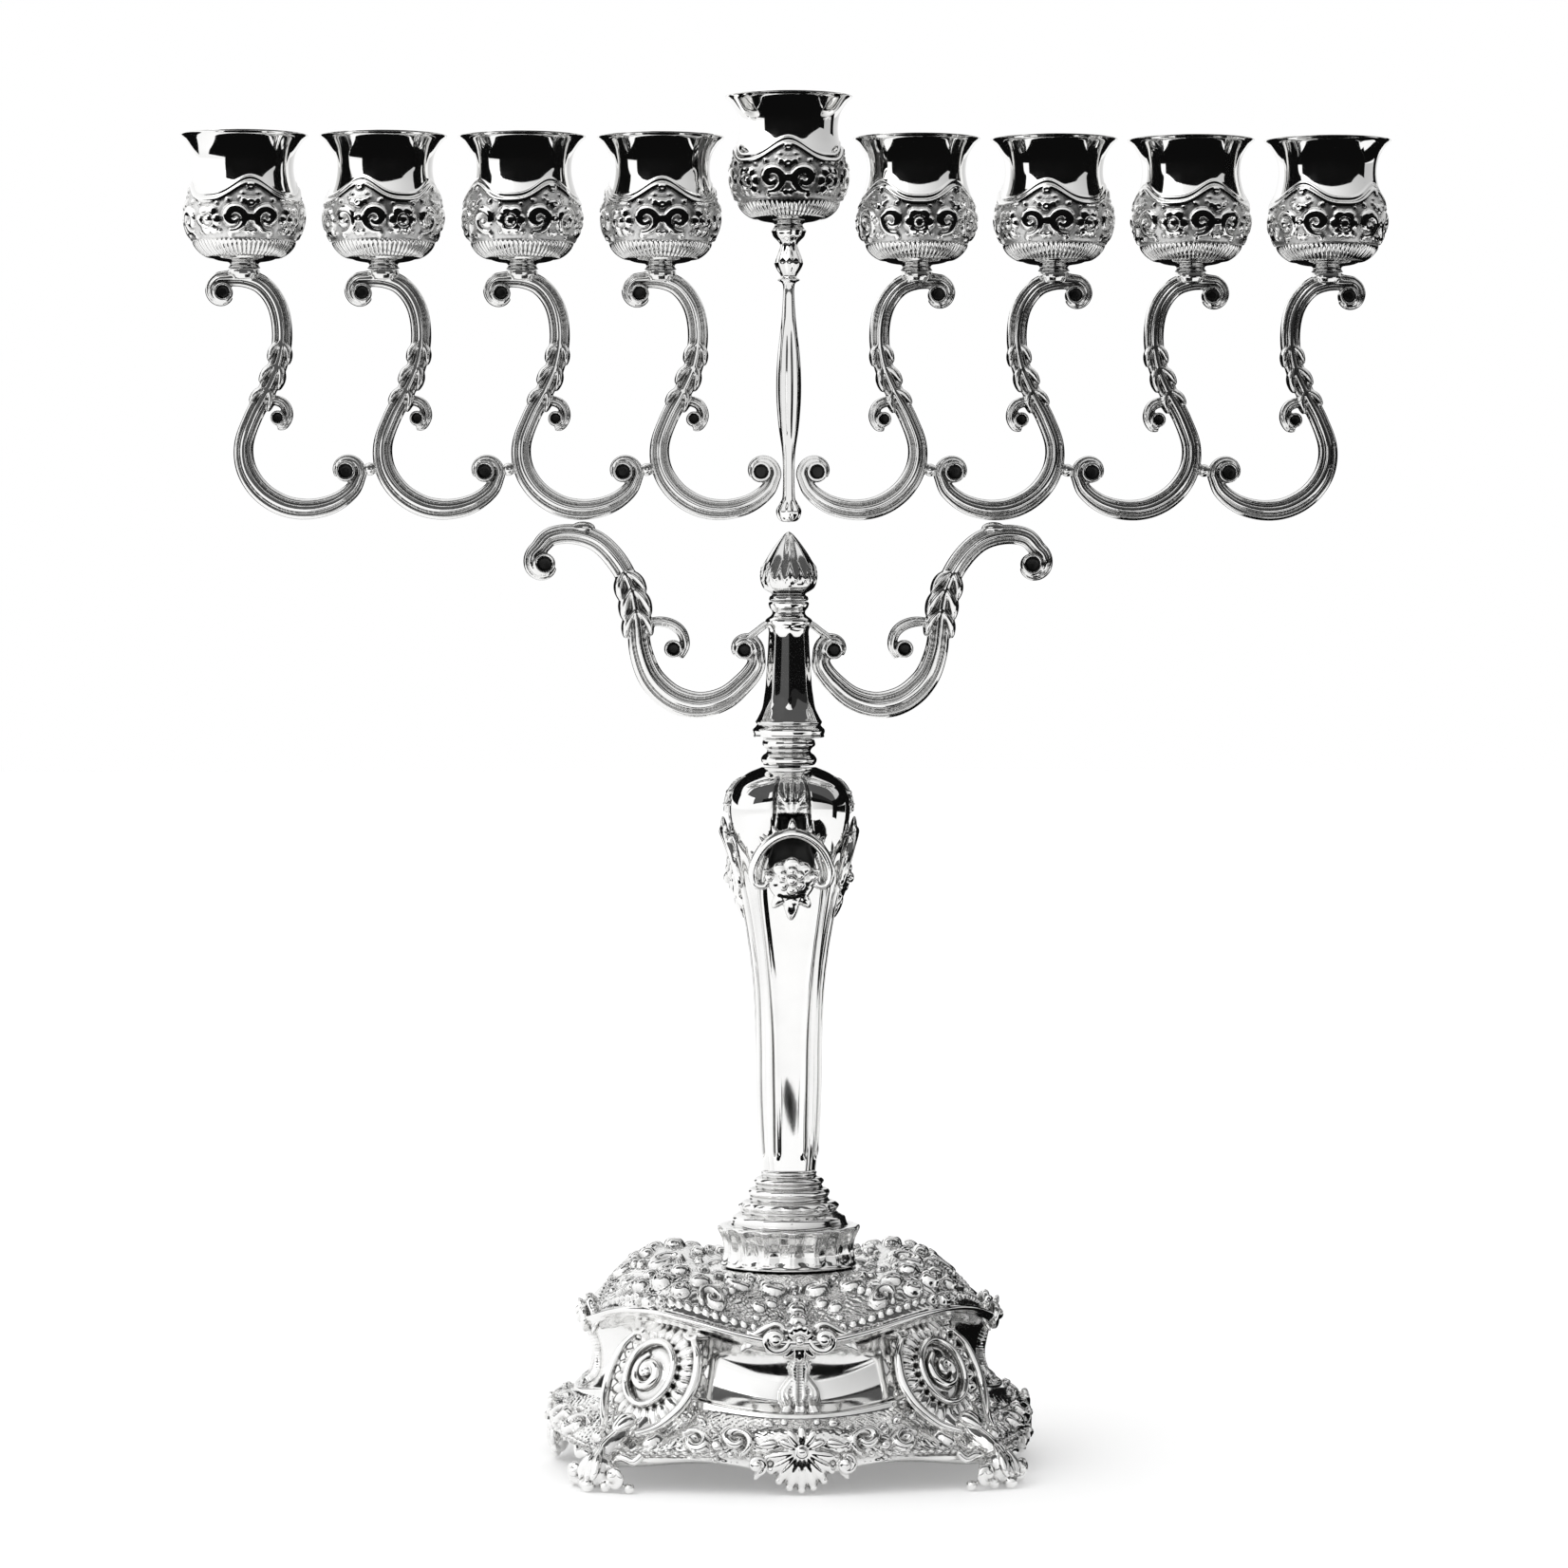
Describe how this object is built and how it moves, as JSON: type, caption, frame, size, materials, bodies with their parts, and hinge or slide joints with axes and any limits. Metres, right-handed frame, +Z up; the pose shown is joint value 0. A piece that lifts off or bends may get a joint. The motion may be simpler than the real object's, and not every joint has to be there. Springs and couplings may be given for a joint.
{
  "type": "menorah",
  "caption": "Polished silver menorah with tulip cups that unscrew, a row of S-scroll arms, a panelled baluster stem and a footed baroque base.",
  "frame": {"origin": "on the ground under the stem's axis, at the middle of the four feet", "axes": "+Z up, +X along the row of cups towards the right-hand end, and the front faces -Y"},
  "size_m": [0.383, 0.1546, 0.431],
  "materials": {
    "polished_silver": "mirror-polished silver plate",
    "arm_silver": "polished cast silver plate, darker in the grooves",
    "chased_silver": "chased silver plate, polished on the high parts and darker in the recesses",
    "cast_silver": "cast silver plate, polished on the high parts and darker in the recesses",
    "stud_steel": "machined threaded steel"
  },
  "bodies": {
    "stand": {"base_dome": "chased_silver", "foot_back_right": "cast_silver", "knee_shell_back_right": "cast_silver", "foot_back_left": "cast_silver", "knee_shell_back_left": "cast_silver", "foot_front_left": "cast_silver", "knee_shell_front_left": "cast_silver", "foot_front_right": "cast_silver", "knee_shell_front_right": "cast_silver", "side_scroll_right": "cast_silver", "apron_shell_right": "cast_silver", "side_scroll_back": "cast_silver", "apron_shell_back": "cast_silver", "side_scroll_left": "cast_silver", "apron_shell_left": "cast_silver", "side_scroll_front": "cast_silver", "apron_shell_front": "cast_silver", "base_collar": "polished_silver", "stem_baluster": "polished_silver", "stem_collar": "polished_silver", "stem_flower_right": "cast_silver", "stem_flower_back": "cast_silver", "stem_flower_left": "cast_silver", "stem_flower_front": "cast_silver", "tie_rod": "stud_steel", "base_washer": "stud_steel", "base_nut": "stud_steel"},
    "branch_screw": {"branch_stud": "stud_steel"},
    "branches": {"arm_block": "polished_silver", "bud_finial": "polished_silver", "centre_spindle": "polished_silver", "lower_arm_right": "arm_silver", "arm_right_1": "arm_silver", "arm_right_2": "arm_silver", "arm_right_3": "arm_silver", "arm_right_4": "arm_silver", "lower_arm_left": "arm_silver", "arm_left_1": "arm_silver", "arm_left_2": "arm_silver", "arm_left_3": "arm_silver", "arm_left_4": "arm_silver"},
    "cup_screw_shamash": {"cup_stud_shamash": "stud_steel"},
    "cup_shamash": {"cup_shamash": "polished_silver"},
    "cup_screw_right_1": {"cup_stud_right_1": "stud_steel"},
    "cup_right_1": {"cup_right_1": "polished_silver"},
    "cup_screw_right_2": {"cup_stud_right_2": "stud_steel"},
    "cup_right_2": {"cup_right_2": "polished_silver"},
    "cup_screw_right_3": {"cup_stud_right_3": "stud_steel"},
    "cup_right_3": {"cup_right_3": "polished_silver"},
    "cup_screw_right_4": {"cup_stud_right_4": "stud_steel"},
    "cup_right_4": {"cup_right_4": "polished_silver"},
    "cup_screw_left_1": {"cup_stud_left_1": "stud_steel"},
    "cup_left_1": {"cup_left_1": "polished_silver"},
    "cup_screw_left_2": {"cup_stud_left_2": "stud_steel"},
    "cup_left_2": {"cup_left_2": "polished_silver"},
    "cup_screw_left_3": {"cup_stud_left_3": "stud_steel"},
    "cup_left_3": {"cup_left_3": "polished_silver"},
    "cup_screw_left_4": {"cup_stud_left_4": "stud_steel"},
    "cup_left_4": {"cup_left_4": "polished_silver"}
  },
  "joints": [
    {"name": "branch_rise", "type": "slide", "parent": "stand", "child": "branch_screw", "axis": [0, 0, 1], "range_m": [0, 0.01032]},
    {"name": "branch_turn", "type": "hinge", "parent": "branch_screw", "child": "branches", "pos_m": [0, 0, 0.2196], "axis": [0, 0, 1], "range_deg": [0, 2970]},
    {"name": "cup_shamash_rise", "type": "slide", "parent": "branches", "child": "cup_screw_shamash", "axis": [0, 0, 1], "range_m": [0, 0.00439]},
    {"name": "cup_shamash_turn", "type": "hinge", "parent": "cup_screw_shamash", "child": "cup_shamash", "pos_m": [0, 0, 0.3895], "axis": [0, 0, 1], "range_deg": [0, 2250]},
    {"name": "cup_right_1_rise", "type": "slide", "parent": "branches", "child": "cup_screw_right_1", "axis": [0, 0, 1], "range_m": [0, 0.00439]},
    {"name": "cup_right_1_turn", "type": "hinge", "parent": "cup_screw_right_1", "child": "cup_right_1", "pos_m": [0.0405, 0, 0.3765], "axis": [0, 0, 1], "range_deg": [0, 2250]},
    {"name": "cup_right_2_rise", "type": "slide", "parent": "branches", "child": "cup_screw_right_2", "axis": [0, 0, 1], "range_m": [0, 0.00439]},
    {"name": "cup_right_2_turn", "type": "hinge", "parent": "cup_screw_right_2", "child": "cup_right_2", "pos_m": [0.0841, 0, 0.3765], "axis": [0, 0, 1], "range_deg": [0, 2250]},
    {"name": "cup_right_3_rise", "type": "slide", "parent": "branches", "child": "cup_screw_right_3", "axis": [0, 0, 1], "range_m": [0, 0.00439]},
    {"name": "cup_right_3_turn", "type": "hinge", "parent": "cup_screw_right_3", "child": "cup_right_3", "pos_m": [0.1277, 0, 0.3765], "axis": [0, 0, 1], "range_deg": [0, 2250]},
    {"name": "cup_right_4_rise", "type": "slide", "parent": "branches", "child": "cup_screw_right_4", "axis": [0, 0, 1], "range_m": [0, 0.00439]},
    {"name": "cup_right_4_turn", "type": "hinge", "parent": "cup_screw_right_4", "child": "cup_right_4", "pos_m": [0.1713, 0, 0.3765], "axis": [0, 0, 1], "range_deg": [0, 2250]},
    {"name": "cup_left_1_rise", "type": "slide", "parent": "branches", "child": "cup_screw_left_1", "axis": [0, 0, 1], "range_m": [0, 0.00439]},
    {"name": "cup_left_1_turn", "type": "hinge", "parent": "cup_screw_left_1", "child": "cup_left_1", "pos_m": [-0.0405, 0, 0.3765], "axis": [0, 0, 1], "range_deg": [0, 2250]},
    {"name": "cup_left_2_rise", "type": "slide", "parent": "branches", "child": "cup_screw_left_2", "axis": [0, 0, 1], "range_m": [0, 0.00439]},
    {"name": "cup_left_2_turn", "type": "hinge", "parent": "cup_screw_left_2", "child": "cup_left_2", "pos_m": [-0.0841, 0, 0.3765], "axis": [0, 0, 1], "range_deg": [0, 2250]},
    {"name": "cup_left_3_rise", "type": "slide", "parent": "branches", "child": "cup_screw_left_3", "axis": [0, 0, 1], "range_m": [0, 0.00439]},
    {"name": "cup_left_3_turn", "type": "hinge", "parent": "cup_screw_left_3", "child": "cup_left_3", "pos_m": [-0.1277, 0, 0.3765], "axis": [0, 0, 1], "range_deg": [0, 2250]},
    {"name": "cup_left_4_rise", "type": "slide", "parent": "branches", "child": "cup_screw_left_4", "axis": [0, 0, 1], "range_m": [0, 0.00439]},
    {"name": "cup_left_4_turn", "type": "hinge", "parent": "cup_screw_left_4", "child": "cup_left_4", "pos_m": [-0.1713, 0, 0.3765], "axis": [0, 0, 1], "range_deg": [0, 2250]}
  ],
  "couplings": [
    {"joint": "branch_rise", "follows": "branch_turn", "m_per_rad": 0.00019894},
    {"joint": "cup_shamash_rise", "follows": "cup_shamash_turn", "m_per_rad": 0.00011141},
    {"joint": "cup_right_1_rise", "follows": "cup_right_1_turn", "m_per_rad": 0.00011141},
    {"joint": "cup_right_2_rise", "follows": "cup_right_2_turn", "m_per_rad": 0.00011141},
    {"joint": "cup_right_3_rise", "follows": "cup_right_3_turn", "m_per_rad": 0.00011141},
    {"joint": "cup_right_4_rise", "follows": "cup_right_4_turn", "m_per_rad": 0.00011141},
    {"joint": "cup_left_1_rise", "follows": "cup_left_1_turn", "m_per_rad": 0.00011141},
    {"joint": "cup_left_2_rise", "follows": "cup_left_2_turn", "m_per_rad": 0.00011141},
    {"joint": "cup_left_3_rise", "follows": "cup_left_3_turn", "m_per_rad": 0.00011141},
    {"joint": "cup_left_4_rise", "follows": "cup_left_4_turn", "m_per_rad": 0.00011141}
  ]
}
